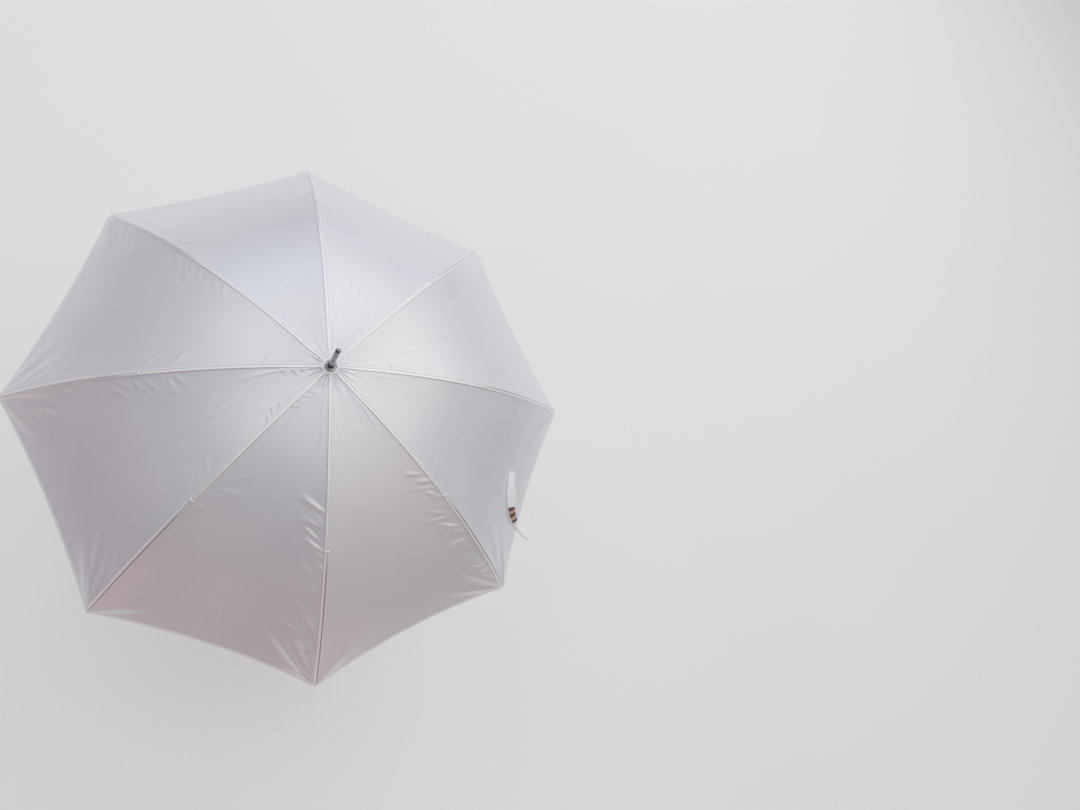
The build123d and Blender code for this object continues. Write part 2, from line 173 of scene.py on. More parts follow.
# %% [markdown]
# Colours are written as sRGB hex, the way a swatch is read, and turned to linear light once, here.
# One small function adds a shader node, sets what it needs and links what feeds it, so that each
# material below reads as a short recipe.


# %% Colour and nodes
def linear(hex_colour):
    """sRGB to linear light: a straight piece near black, and a power of 2.4 above it."""
    channels = [int(hex_colour[i : i + 2], 16) / 255 for i in (1, 3, 5)]
    return (*[c / 12.92 if c <= 0.04045 else ((c + 0.055) / 1.055) ** 2.4 for c in channels], 1.0)


def add(tree, kind, inputs=(), **settings):
    """Add one node, with its settings, and each input either set to a value or linked to a socket."""
    node = tree.nodes.new(kind)
    for name, value in settings.items():
        setattr(node, name, value)
    for name, value in dict(inputs).items():
        if isinstance(value, bpy.types.NodeSocket):
            tree.links.new(value, node.inputs[name])
        else:
            node.inputs[name].default_value = value
    return node


def new_material(name):
    """An empty material and its node tree, with only the output in it."""
    material = bpy.data.materials.new(name)
    material.use_nodes = True
    tree = material.node_tree
    tree.nodes.clear()
    return material, tree, tree.nodes.new("ShaderNodeOutputMaterial")


def colour_stops(tree, factor, stops):
    """A colour ramp through (place, hex colour) stops, fed by a factor."""
    ramp = add(tree, "ShaderNodeValToRGB", {"Fac": factor})
    elements = ramp.color_ramp.elements
    while len(elements) < len(stops):
        elements.new(0.5)
    for element, (place, colour) in zip(elements, stops):
        element.position, element.color = place, linear(colour)
    return ramp.outputs["Color"]


# %% [markdown]
# ## The satin
#
# Umbrella satin is polyester woven so that long shiny floats lie on the outside. Its sheen is broad
# and soft, the threads run down each gore, and a thin coat with aluminium pigment stiffens it and
# makes it reflect. The threads are 0.12 mm
# wide, too fine to show, so the streaks of the floats are drawn 1 mm wide and 25 mm long. They follow
# the cloth's own map, in metres, so they run with the gore and stay put when it folds.

# %% Satin
SATIN_LIGHT, SATIN_DEEP = "#dad8e0", "#d0ced8"


def woven_satin(name, light, deep, roughness):
    """Polyester satin, IOR 1.5, its thin aluminium-pigment coat metallic 0.45, streaked along the threads."""
    material, tree, output = new_material(name)
    place = add(tree, "ShaderNodeUVMap", uv_map="cloth_metres").outputs["UV"]
    streaks = add(tree, "ShaderNodeMapping", {"Vector": place, "Scale": (1000, 40, 1)}).outputs["Vector"]
    floats = add(tree, "ShaderNodeTexNoise", {"Vector": streaks, "Scale": 1.0, "Detail": 3.0}).outputs["Fac"]
    where = add(tree, "ShaderNodeTexCoord").outputs["Object"]
    clouds = add(tree, "ShaderNodeTexNoise", {"Vector": where, "Scale": 9.0, "Detail": 2.0}).outputs["Fac"]
    colour = colour_stops(tree, clouds, [(0.3, deep), (0.7, light)])
    gloss = add(
        tree, "ShaderNodeMapRange", {"Value": floats, "To Min": roughness - 0.04, "To Max": roughness + 0.06}
    ).outputs["Result"]
    bump = add(tree, "ShaderNodeBump", {"Height": floats, "Strength": 0.12, "Distance": 0.2 * MM})
    satin = add(
        tree,
        "ShaderNodeBsdfPrincipled",
        {
            "Base Color": colour,
            "Metallic": 0.45,
            "Roughness": gloss,
            "IOR": 1.5,
            "Sheen Weight": 0.15,
            "Sheen Roughness": 0.35,
            "Normal": bump.outputs["Normal"],
        },
    )
    tree.links.new(satin.outputs["BSDF"], output.inputs["Surface"])
    return material


satin = woven_satin("polyester_satin", SATIN_LIGHT, SATIN_DEEP, 0.36)
folded_satin = woven_satin("satin_hem", "#f7f6f9", "#eeecf3", 0.42)
print("satin made")

# %% [markdown]
# ## The canopy
#
# Between two ribs the cloth is pulled tight, so each thread across runs nearly straight from rib to
# rib. That gives a ruled surface: at each share of the ribs' length, a straight chord. Eight flat
# triangles would be quicker, but the dome would lose its bow and its broad highlights.
#
# Across a gore the place is counted from -1 on one rib to +1 on the next, and 0 is its middle.

# %% The gore's surface
CLOTH_ABOVE_RIB = 2.8 * MM
SCALLOPS = np.array([18, 18, 17, 12, 9.5, 13, 17, 18]) * MM  # how far each gore's hem hangs back
CLOTH_FROM = 0.0075


def gore_frame(gore):
    """Unit vectors out along the gore's middle and sideways across it."""
    middle = radians(PITCH * (gore + 0.5))
    return np.array([cos(middle), sin(middle), 0.0]), np.array([-sin(middle), cos(middle), 0.0])


def gore_normal(share):
    """Across the chord and along the fall: (out, up) parts of the ruled surface's normal."""
    slope = rib_slope(share)
    out, up = np.sin(slope), np.cos(slope) * cos(HALF_PITCH)
    size = np.hypot(out, up)
    return out / size, up / size


def gore_point(gore, share, across, lift=0.0):
    """The straight chord at this share, plus a lift along the surface's normal."""
    radius, height = rib_arc(share, CLOTH_ABOVE_RIB)
    out, side = gore_frame(gore)
    normal_out, normal_up = gore_normal(share)
    reach_out = radius * cos(HALF_PITCH) + lift * normal_out
    flat = reach_out[..., None] * out + (radius * sin(HALF_PITCH) * across)[..., None] * side
    return flat + (height + lift * normal_up)[..., None] * np.array([0.0, 0.0, 1.0])


def hem_share(gore, across):
    """The hem is a shallow parabola: full length at the ribs, a scallop shorter in the middle."""
    return 1 - SCALLOPS[gore] / RIB_LENGTH * (1 - across**2)


print(f"hem {2 * rim_radius * sin(HALF_PITCH) / MM:.0f} mm from rib to rib")

# %% [markdown]
# ## Wrinkles
#
# Taut cloth wrinkles where it is held: it puckers where it is gathered under the collar, fans out
# from each rib's tip, and ripples where a seam is sewn a little short. A noise pattern would wrinkle it
# everywhere alike. So each wrinkle here is one soft ridge laid along a line, in the gore's own flat
# millimetres, and its ripple dies out sideways and at both ends.


# %% Wrinkles
def ridge(x, y, start, run, width, height):
    """A cosine ripple across the line, inside a bell; along it, it swells early and dies out."""
    length = hypot(*run)
    forward = ((x - start[0]) * run[0] + (y - start[1]) * run[1]) / length**2
    aside = ((x - start[0]) * run[1] - (y - start[1]) * run[0]) / length
    along = np.clip(forward, 0, 1)
    swell = np.sin(np.pi * along**0.75)
    spread = width * (0.6 + 0.9 * along)
    return height * swell * np.cos(1.4 * aside / spread) * np.exp(-((aside / spread) ** 2))


# how strongly each seam ripples, by (rib, side): side 1 is anticlockwise of the rib
RIPPLED = {(7, -1): 1.7, (8, -1): 1.5, (4, 1): 0.6, (5, 1): 0.6, (5, -1): 0.5, (6, 1): 0.5, (6, -1): 0.5}
QUIET = 0.14  # the other seams
# seams that also ripple by the crown: (rib, side) to the first and last share
GATHERED = {
    (5, -1): (0.07, 0.20),
    (6, -1): (0.13, 0.24),
    (6, 1): (0.03, 0.16),
    (1, 1): (0.18, 0.27),
    (5, 1): (0.05, 0.14),
}
LENGTH_MM = RIB_LENGTH / MM
SEAM_LEAN = atan2(rim_radius * sin(HALF_PITCH), RIB_LENGTH)


def wrinkle_list(gore, rng):
    """The gore's wrinkles as (start, run, width, height), in millimetres.

    Each seam has three broad folds and five fine ones from its tip, eighteen ripples down its outer
    half, six by the crown if it is gathered there, and three faint pleats that leave the crown.
    """
    lines = []
    for side in (-1, 1):
        rib = gore + 1 if side < 0 else (gore + 1) % RIBS + 1
        corner = (side * rim_radius * sin(HALF_PITCH) / MM, LENGTH_MM)
        strength = RIPPLED.get((rib, -side), QUIET)
        for i in range(3):
            lean = SEAM_LEAN + radians(14 + 13 * i + rng.uniform(-6, 6))
            size = rng.uniform(80, 165) * (1 - 0.12 * i)
            run = (-side * sin(lean) * size, -cos(lean) * size)
            width, height = rng.uniform(7.0, 12.0), (0.6 + 0.9 * strength) * rng.uniform(0.8, 1.4)
            lines.append((corner, run, width, height))
        for i in range(5):
            lean = SEAM_LEAN + radians(rng.uniform(0, 50))
            size = rng.uniform(35, 90)
            run = (-side * sin(lean) * size, -cos(lean) * size)
            lines.append((corner, run, rng.uniform(2.4, 4.0), rng.uniform(0.15, 0.4)))
        for i in range(18):
            share = 0.42 + 0.031 * i + rng.uniform(-0.016, 0.016)
            inset = rng.uniform(0.86, 0.99)
            start = (side * inset * rib_arc(share)[0] * sin(HALF_PITCH) / MM, share * LENGTH_MM)
            lean = SEAM_LEAN + radians(rng.uniform(32, 66))
            size = rng.uniform(18, 50)
            run = (-side * sin(lean) * size, -cos(lean) * size)
            lines.append((start, run, rng.uniform(3.2, 5.6), strength * rng.uniform(0.2, 0.95)))
        near, far = GATHERED.get((rib, -side), (0, 0))
        for i in range(6 if far else 0):
            share = near + (far - near) * (i + rng.uniform(0, 0.8)) / 6
            start = (side * 0.97 * rib_arc(share)[0] * sin(HALF_PITCH) / MM, share * LENGTH_MM)
            lean = radians(rng.uniform(60, 85))
            size = rng.uniform(13, 26)
            run = (-side * sin(lean) * size, -cos(lean) * size)
            lines.append((start, run, rng.uniform(2.4, 3.4), rng.uniform(0.35, 0.8)))
        for i in range(3):
            share = 0.05 + 0.05 * i
            start = (side * rib_arc(share)[0] * sin(HALF_PITCH) * 0.7 / MM, share * LENGTH_MM)
            size = rng.uniform(30, 70)
            lean = SEAM_LEAN * rng.uniform(0.3, 0.9)
            lines.append((start, (side * sin(lean) * size, cos(lean) * size), 3.0, rng.uniform(0.2, 0.4)))
    return lines


def crown_puckers(azimuth, radius):
    """Gathers round the crown: waves round the shaft that die out within a few centimetres."""
    drift = 0.9 * np.sin(3 * azimuth + 0.7) + 0.5 * np.sin(5 * azimuth + 2.0)
    wide = np.sin(20 * azimuth + drift)
    fine = np.sin(43 * azimuth + 2 * drift)
    near = np.exp(-(((radius - 12 * MM) / (17 * MM)) ** 2))
    far = np.exp(-(((radius - 14 * MM) / (30 * MM)) ** 2))
    side = 0.75 + 0.45 * np.cos(azimuth + 2.0)  # the gathers are deepest on one side
    return MM * side * (0.6 * far * (np.abs(wide) ** 0.7 * np.sign(wide)) + 0.7 * near * fine)


CREASES = (-0.52, 0.0, 0.46)  # where the cloth was folded flat in its bag, across each gore


def gore_relief(gore, share, across):
    """All of a gore's height over its chords: sag, wrinkles, fold creases and the crown's puckers."""
    rng = np.random.default_rng(40 + gore)
    radius = rib_arc(share)[0]
    x = across * radius * sin(HALF_PITCH) / MM
    y = share * LENGTH_MM
    relief = np.zeros_like(x)
    for start, run, width, height in wrinkle_list(gore, rng):
        relief += ridge(x, y, start, run, width, height)
    for place in CREASES:
        wide = 1.6 + 0.8 * abs(place)
        faint = (0.2 if place == 0 else 0.12) * np.sin(np.pi * np.clip((share - 0.12) / 0.86, 0, 1)) ** 0.5
        relief += faint * np.exp(-np.abs(x - place * radius * sin(HALF_PITCH) / MM) / wide)
    sag = -3.5 * np.sin(np.pi * np.clip(share, 0, 1)) * (1 - across**2)
    azimuth = radians(PITCH * (gore + 0.5)) + np.arctan(across * tan(HALF_PITCH))
    from_seam = (1 - np.abs(across)) * radius * sin(HALF_PITCH) / MM
    fade = 1 - np.exp(-((from_seam / np.minimum(3.0, 0.06 + radius / MM * 0.06)) ** 2))
    return ((relief + sag) * MM + crown_puckers(azimuth, radius)) * fade


# %% [markdown]
# Each rib carries the cloth halfway to its neighbours, in two half gores: when the umbrella closes,
# each half folds flat towards the crease between two ribs. Both halves of a gore are cut from
# the same surface, so they meet exactly at its middle, and the columns crowd at both
# edges, where the creases and the seams need them.

# %% Sixteen half gores
ROWS, COLUMNS = 230, 66


def half_gore_grid(gore, side):
    """Rows from the crown to the hem, columns from the gore's middle to one rib."""
    step = np.linspace(0, 1, ROWS)[:, None]
    crowd = (1 - np.cos(np.pi * np.linspace(0, 1, COLUMNS))) / 2
    even = np.linspace(0, 1, COLUMNS)
    across = side * (0.6 * crowd + 0.4 * even)[None, :]
    share = CLOTH_FROM + step**1.15 * (hem_share(gore, across) - CLOTH_FROM)
    across = np.broadcast_to(across, share.shape)
    points = gore_point(gore, share, across, gore_relief(gore, share, across))
    uv = np.stack([across * rib_arc(share)[0] * sin(HALF_PITCH), share * RIB_LENGTH], -1)
    if side < 0:
        points, uv = points[:, ::-1], uv[:, ::-1]
    return points, uv


half_gores = []
for rib in range(1, RIBS + 1):
    for side, word in ((1, "left"), (-1, "right")):
        # a rib's left half gore is the side of the gore that starts at this rib
        gore = rib - 1 if side > 0 else (rib - 2) % RIBS
        points, uv = half_gore_grid(gore, -side)
        piece = join_grids(f"gore_{rib}_{word}", [(points, uv, False)])
        piece.data.materials.append(satin)
        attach(piece, f"rib_{rib}")
        half_gores.append((piece, rib, side))
        if side > 0:
            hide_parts(f"canopy_{rib}")
print("canopy:", len(half_gores), "half gores of", (ROWS - 1) * (COLUMNS - 1), "faces")

# %% [markdown]
# ## Seams, ties and hem
#
# The gores are joined over each rib by a flat-felled seam: both edges are folded into each other and
# sewn down twice, so the seam stands up as two bright welts with a groove between. Halfway
# down, a few turns of thread tie it to the rib. The hem is turned over once and sewn, which makes
# a thin rounded edge. All three are ribbons of their own, because a bump would vanish at the rim.

# %% Seam cloth
SEAM_HALF = 3.5 * MM


def seam_material():
    """Doubled satin: white welts, partly a painted highlight on their tops, painted shade in the groove, and
    on the outer half a painted shadow of the rib seen through the cloth.
    """
    material, tree, output = new_material("satin_felled_seam")
    place = add(tree, "ShaderNodeUVMap", uv_map="cloth_metres").outputs["UV"]
    parts = add(tree, "ShaderNodeSeparateXYZ", {"Vector": place})
    sideways, along = parts.outputs["X"], parts.outputs["Y"]
    profile = add(
        tree, "ShaderNodeMapRange", {"Value": sideways, "From Min": -SEAM_HALF, "From Max": SEAM_HALF}
    ).outputs["Result"]
    # the welts are white: doubled cloth, and partly a painted highlight on their raised tops
    edge, welt = [(0.04, "#d4d2dc"), (0.16, "#ffffff")], [(0.62, "#ffffff"), (0.84, "#fdfdff")]
    # dark: a painted shadow of the rib, seen through the cloth beside the seam on its outer half
    dark = [(0.52, "#a5a3ac"), (0.66, "#8f8c96"), (0.84, "#d9d7e0")]
    far_edge = [(0.96, "#d4d2dc")]
    # inner half: two white welts with painted shade in the groove between them
    inner = colour_stops(tree, profile, edge + [(0.38, "#ffffff"), (0.5, "#c9c7d1")] + welt + far_edge)
    outer = colour_stops(tree, profile, edge + [(0.40, "#fbfbfe")] + dark + far_edge)
    # between 0.50 and 0.60 of the rib's length the painted rib shadow takes over from the inner colours
    half = add(
        tree,
        "ShaderNodeMapRange",
        {"Value": along, "From Min": 0.50 * RIB_LENGTH, "From Max": 0.60 * RIB_LENGTH},
    ).outputs["Result"]
    colour = add(tree, "ShaderNodeMix", data_type="RGBA")
    tree.links.new(half, colour.inputs["Factor"])
    tree.links.new(inner, colour.inputs[6])
    tree.links.new(outer, colour.inputs[7])
    # lock stitches 2.5 mm long, seen as a row of small dents
    stitch = add(tree, "ShaderNodeMath", {0: along, 1: 2 * np.pi / (2.5 * MM)}, operation="MULTIPLY")
    dents = add(tree, "ShaderNodeMath", {0: stitch.outputs[0]}, operation="SINE").outputs[0]
    bump = add(tree, "ShaderNodeBump", {"Height": dents, "Strength": 0.25, "Distance": 0.25 * MM})
    cloth = add(
        tree,
        "ShaderNodeBsdfPrincipled",
        {
            "Base Color": colour.outputs[2],
            "Metallic": 0.55,
            "Roughness": 0.3,
            "IOR": 1.5,
            "Normal": bump.outputs["Normal"],
        },
    )
    tree.links.new(cloth.outputs["BSDF"], output.inputs["Surface"])
    return material


felled_seam = seam_material()

# %% Seams
SEAM_FROM, SEAM_TO = 0.0004, 0.992
SEAM_ACROSS = np.array([-1, -0.93, -0.82, -0.66, -0.45, -0.25, 0, 0.25, 0.45, 0.66, 0.82, 0.93, 1])
SEAM_RISE = np.array([0.1, 0.7, 1.1, 1.25, 0.95, 0.5, 0.4, 0.5, 0.95, 1.25, 1.1, 0.7, 0.1]) * MM


def seam_grid(rib):
    """A welted profile over the rib, following the cloth as it falls to both sides, closed below."""
    share = np.linspace(SEAM_FROM, SEAM_TO, 260)
    azimuth = radians(PITCH * (rib - 1))
    out = np.array([cos(azimuth), sin(azimuth), 0.0])
    aside = np.array([-sin(azimuth), cos(azimuth), 0.0])
    slope = rib_slope(share)
    taper = np.clip(np.minimum(share - SEAM_FROM, SEAM_TO - share) / 0.006, 0.02, 1) ** 0.5
    narrow = taper * np.clip(0.35 + rib_arc(share)[0] / (60 * MM), 0, 1)
    x = np.concatenate([SEAM_ACROSS, SEAM_ACROSS[::-1][1:-1]])[None, :] * SEAM_HALF * narrow[:, None]
    rise = np.concatenate([SEAM_RISE, np.full(len(SEAM_ACROSS) - 2, -0.25 * MM)])[None, :] * taper[:, None]
    above = rise + CLOTH_ABOVE_RIB - np.abs(x) * tan(HALF_PITCH) * np.sin(slope)[:, None]
    radius, height = rib_arc(share[:, None], above)
    points = radius[..., None] * out + x[..., None] * aside + height[..., None] * np.array([0.0, 0.0, 1.0])
    uv = np.stack([x / narrow[:, None], np.broadcast_to(share[:, None] * RIB_LENGTH, x.shape)], -1)
    return points, uv, True


def on_rib(rib, share, above):
    """A point over a rib, with the directions along it, across it and outwards."""
    azimuth = radians(PITCH * (rib - 1))
    out, aside = np.array([cos(azimuth), sin(azimuth), 0.0]), np.array([-sin(azimuth), cos(azimuth), 0.0])
    radius, height = rib_arc(share, above)
    slope, up = rib_slope(share), np.array([0.0, 0.0, 1.0])
    forward = cos(slope) * out - sin(slope) * up
    return radius * out + height * up, forward, aside, sin(slope) * out + cos(slope) * up


def knot_grid(rib, share, half_length, half_width, half_height):
    """A flattened ball of thread: an ellipsoid on the rib's own axes."""
    centre, forward, aside, outwards = on_rib(rib, share, CLOTH_ABOVE_RIB + 0.7 * MM)
    polar = np.linspace(0.01, np.pi - 0.01, 11)[:, None]
    round_ = np.linspace(0, 2 * np.pi, 16, endpoint=False)
    twist = 1 + 0.14 * np.cos(5 * round_ + 4 * polar)
    points = (
        centre
        + (np.cos(polar) * half_width * np.ones_like(round_))[..., None] * aside
        + (np.sin(polar) * np.cos(round_) * half_length * twist)[..., None] * forward
        + (np.sin(polar) * np.sin(round_) * half_height * twist)[..., None] * outwards
    )
    return points, np.zeros(points.shape[:2] + (2,)), True


for rib in range(1, RIBS + 1):
    piece = join_grids(
        f"seam_{rib}",
        [
            seam_grid(rib),
            knot_grid(rib, 0.53 + 0.006 * sin(2.1 * rib), 1.6 * MM, 3.9 * MM, 1.3 * MM),
        ],
    )
    piece.data.materials.append(felled_seam)
    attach(piece, f"rib_{rib}")

# %% Hem
HEM_HALF_WIDTH, HEM_HALF_HEIGHT = 1.9 * MM, 0.4 * MM


def hem_grid(gore, side):
    """An oval carried along the scalloped edge, lying in the cloth's plane."""
    across = side * np.linspace(0.0, 0.985, 90)
    share = hem_share(gore, across) - 1.2 * MM / RIB_LENGTH
    lift = gore_relief(gore, share, across)
    centres = gore_point(gore, share, across, lift)
    along = np.gradient(centres, axis=0)
    along /= np.linalg.norm(along, axis=1)[:, None]
    out, _ = gore_frame(gore)
    normal_out, normal_up = gore_normal(share)
    outwards = normal_out[:, None] * out + normal_up[:, None] * np.array([0.0, 0.0, 1.0])
    inwards = np.cross(along, outwards)
    return tube(centres, inwards, outwards, HEM_HALF_WIDTH, HEM_HALF_HEIGHT, around=10)


hems = []
for gore_piece, rib, side in half_gores:
    gore = rib - 1 if side > 0 else (rib - 2) % RIBS
    hem = join_grids(gore_piece.name.replace("gore", "hem"), [hem_grid(gore, -side)])
    hem.data.materials.append(folded_satin)
    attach(hem, f"rib_{rib}")
    hems.append((hem, rib, side))
print("hems:", len(hems))

# %% [markdown]
# ## The crown
#
# Under the collar the eight points of cloth are gathered round the shaft beneath a small round
# patch, pinched into deep folds. It is a disc whose edge waves with the same puckers
# as the gores that come out from under it, so the one lies on the other all the way round.

# %% Crown gather
hub_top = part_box("crown_hub")[1].z
PATCH_RADIUS = 13.4 * MM
round_ = np.linspace(0, 2 * np.pi, 288, endpoint=False)[None, :]
ring = np.linspace(4.1 * MM, PATCH_RADIUS, 34)[:, None]
frill = 0.06 * np.cos(8 * round_) + 0.05 * np.cos(13 * round_ + 1.0) + 0.03 * np.cos(29 * round_)
spread = np.clip((ring - 8.0 * MM) / (PATCH_RADIUS - 8.0 * MM), 0, 1)
radius = ring * (1 + frill * spread)
cloth_height = rib_arc(np.maximum(radius - pivot_radius, 0) / RIB_LENGTH, CLOTH_ABOVE_RIB)[1]
gathers = np.abs(crown_puckers(round_, radius)) + 0.35 * MM * (1 + np.cos(31 * round_ + 0.4)) * spread
height = np.maximum(cloth_height, hub_top + 0.1 * MM) * spread + (hub_top + 0.3 * MM) * (1 - spread)
height = height + 0.25 * MM + gathers * spread
patch_points = np.stack(np.broadcast_arrays(radius * np.cos(round_), radius * np.sin(round_), height), -1)
patch_uv = patch_points[..., :2]
crown_gather = join_grids("crown_gather", [(patch_points, patch_uv, True)])
crown_gather.data.materials.append(folded_satin)
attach(crown_gather, "shaft")
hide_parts("crown_patch")
print("crown gather to", PATCH_RADIUS / MM, "mm")

# %% [markdown]
# ## The tie strap
#
# A short ribbon is sewn to the cloth near the hem. Wrapped round the closed umbrella, it keeps it
# shut. It starts narrow where it is folded and stitched, widens, crosses a dark woven band and
# ends in a thin loop of tape that hangs past the hem. Each stretch is a ribbon along a smooth
# line, given by its share of the rib's length, its angle round the shaft and its height over the cloth.


# %% Strap cloth
def ribbon_material(name, light, deep, rib_spacing):
    """Grosgrain ribbon: cross ribs at their real spacing, a soft sheen, IOR 1.5."""
    material, tree, output = new_material(name)
    place = add(tree, "ShaderNodeUVMap", uv_map="cloth_metres").outputs["UV"]
    along = add(tree, "ShaderNodeSeparateXYZ", {"Vector": place}).outputs["Y"]
    turns = add(tree, "ShaderNodeMath", {0: along, 1: 2 * np.pi / rib_spacing}, operation="MULTIPLY")
    ribs = add(tree, "ShaderNodeMath", {0: turns.outputs[0]}, operation="SINE").outputs[0]
    # the colour follows the cross ribs: painted shade in the troughs between them, lighter on their crests
    shade = add(tree, "ShaderNodeMapRange", {"Value": ribs, "From Min": -1.0, "From Max": 1.0})
    bump = add(tree, "ShaderNodeBump", {"Height": ribs, "Strength": 0.4, "Distance": 0.2 * MM})
    ribbon = add(
        tree,
        "ShaderNodeBsdfPrincipled",
        {
            "Base Color": colour_stops(tree, shade.outputs["Result"], [(0.0, deep), (1.0, light)]),
            "Roughness": 0.5,
            "IOR": 1.5,
            "Sheen Weight": 0.3,
            "Normal": bump.outputs["Normal"],
        },
    )
    tree.links.new(ribbon.outputs["BSDF"], output.inputs["Surface"])
    return material


BAND_LENGTH = 30 * MM
# from the ribbon's end of the band to its other end
STRIPES = (
    *("#17130f", "#1d1617", "#6a3730", "#a98b74"),  # nearly black, then red-brown and tan
    *("#241b1c", "#31211f", "#7a5245", "#b79a80"),  # the same again, browner
    *("#23281d", "#181a13"),  # dark green
)


def band_material():
    """A woven band: dark stripes with thin red-brown and tan ones between, their edges frayed by a noise."""
    material, tree, output = new_material("woven_band")
    place = add(tree, "ShaderNodeUVMap", uv_map="cloth_metres").outputs["UV"]
    stretched = add(tree, "ShaderNodeMapping", {"Vector": place, "Scale": (700, 1600, 1)}).outputs["Vector"]
    yarn = add(tree, "ShaderNodeTexNoise", {"Vector": stretched, "Scale": 1.0, "Detail": 1.0}).outputs["Fac"]
    along = add(tree, "ShaderNodeSeparateXYZ", {"Vector": place}).outputs["Y"]
    share = add(tree, "ShaderNodeMath", {0: along, 1: 1 / BAND_LENGTH}, operation="MULTIPLY").outputs[0]
    frayed = add(tree, "ShaderNodeMath", {0: yarn, 1: 0.22, 2: share}, operation="MULTIPLY_ADD").outputs[0]
    colour = colour_stops(tree, frayed, [(0.1 + 0.105 * i, stripe) for i, stripe in enumerate(STRIPES)])
    bump = add(tree, "ShaderNodeBump", {"Height": yarn, "Strength": 0.5, "Distance": 0.3 * MM})
    band = add(
        tree,
        "ShaderNodeBsdfPrincipled",
        {
            "Base Color": colour,
            "Roughness": 0.7,
            "IOR": 1.5,
            "Sheen Weight": 0.3,
            "Normal": bump.outputs["Normal"],
        },
    )
    tree.links.new(band.outputs["BSDF"], output.inputs["Surface"])
    return material


white_ribbon = ribbon_material("grosgrain_ribbon", "#fbfcff", "#eef1f9", 0.9 * MM)
pink_tape = ribbon_material("cotton_tape", "#f6e4e1", "#ecd2cf", 1.1 * MM)
woven_band = band_material()


# %% Strap
def cloth_place(share, azimuth, above):
    """A point that far above the cloth, at a share of the ribs and an angle in degrees round the shaft."""
    gore = int(azimuth // PITCH) % RIBS
    middle = PITCH * (azimuth // PITCH + 0.5)
    across = tan(radians(azimuth - middle)) / tan(HALF_PITCH)
    return gore_point(gore, np.array(share), np.array(across), np.array(above))


def smooth_line(knots, count):
    """Each coordinate follows a cubic through the knots (Catmull-Rom), spaced evenly between them."""
    knots = np.array(knots)
    ends = np.concatenate([2 * knots[:1] - knots[1:2], knots, 2 * knots[-1:] - knots[-2:-1]])
    at = np.linspace(0, len(knots) - 1.000001, count)
    i, t = at.astype(int), (at % 1)[:, None]
    a, b, c, d = ends[i], ends[i + 1], ends[i + 2], ends[i + 3]
    return 0.5 * (2 * b + (c - a) * t + (2 * a - 5 * b + 4 * c - d) * t**2 + (3 * b - a - 3 * c + d) * t**3)


def ribbon_piece(name, stops, half_width, half_height, count):
    """A flat oval along a smooth line; each stop is (share, azimuth, height over the cloth, width)."""
    knots = [list(cloth_place(s, a, h)) + [w] for s, a, h, w in stops]
    line = smooth_line(knots, count)
    centres, wide = line[:, :3], line[:, 3]
    along = np.gradient(centres, axis=0)
    along /= np.linalg.norm(along, axis=1)[:, None]
    out, _ = gore_frame(7)
    normal_out, normal_up = gore_normal(0.9)
    lying = normal_out * out + normal_up * np.array([0.0, 0.0, 1.0])
    # a loose strap doesn't lie flat: it stands on one edge, turned up by a third of a right angle
    facing = 0.45 * lying + 0.55 * np.array([-0.30, -0.18, 0.94])
    aside = np.cross(along, facing)
    aside /= np.linalg.norm(aside, axis=1)[:, None]
    shape = tube(centres, aside, np.cross(aside, along), wide * half_width, half_height, 20)
    return join_grids(name, [shape])


# share of the rib's length, degrees clockwise of rib 1, height over the cloth in mm, share of the width
STRAP = [
    (0.8112, 21.36, 2.4, 0.48),
    (0.8167, 23.07, 3.4, 0.75),
    (0.8200, 24.90, 4.6, 0.74),
    (0.8291, 26.39, 5.4, 1.0),
    (0.8425, 27.74, 5.6, 1.06),
    (0.8550, 29.07, 5.5, 0.94),
    (0.8658, 30.07, 5.2, 0.77),
]
BAND = [
    (0.8643, 29.98, 5.25, 0.81),
    (0.8815, 30.91, 5.3, 0.84),
    (0.9022, 31.52, 5.2, 0.76),
    (0.9226, 32.0, 5.0, 0.68),
]
TAIL = [
    (0.9196, 31.6, 2.6, 1.7),
    (0.9486, 32.4, 2.4, 1.5),
    (0.9844, 32.5, 2.0, 1.1),
    (1.0421, 31.93, 1.2, 0.96),
    (1.1, 31.05, 0.9, 0.67),
]


def clockwise(stops):
    """The strap sits clockwise of rib 1, so its angles are taken the other way round."""
    return [(s, -a, h * MM, w) for s, a, h, w in stops]


strap_pieces = []
for name, stops, half_width, half_height, finish in (
    ("tie_strap_ribbon", STRAP, 8.0 * MM, 0.6 * MM, white_ribbon),
    ("tie_strap_band", BAND, 7.6 * MM, 0.75 * MM, woven_band),
    ("tie_strap_tail", TAIL, 2.0 * MM, 0.5 * MM, pink_tape),
):
    piece = ribbon_piece(name, clockwise(stops), half_width, half_height, 64)
    piece.data.materials.append(finish)
    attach(piece, "rib_8")
    strap_pieces.append(piece)
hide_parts("tie_strap")
print("strap:", len(strap_pieces), "pieces")


# %% [markdown]
# ## Metal, plastic and rubber
#
# The steelwork keeps the frame's own shapes and only needs surfaces. Each finish
# starts from the real metal's colour and roughness, and a noise in real millimetres breaks it up:
# fine for brushing, coarse for stains and wear.


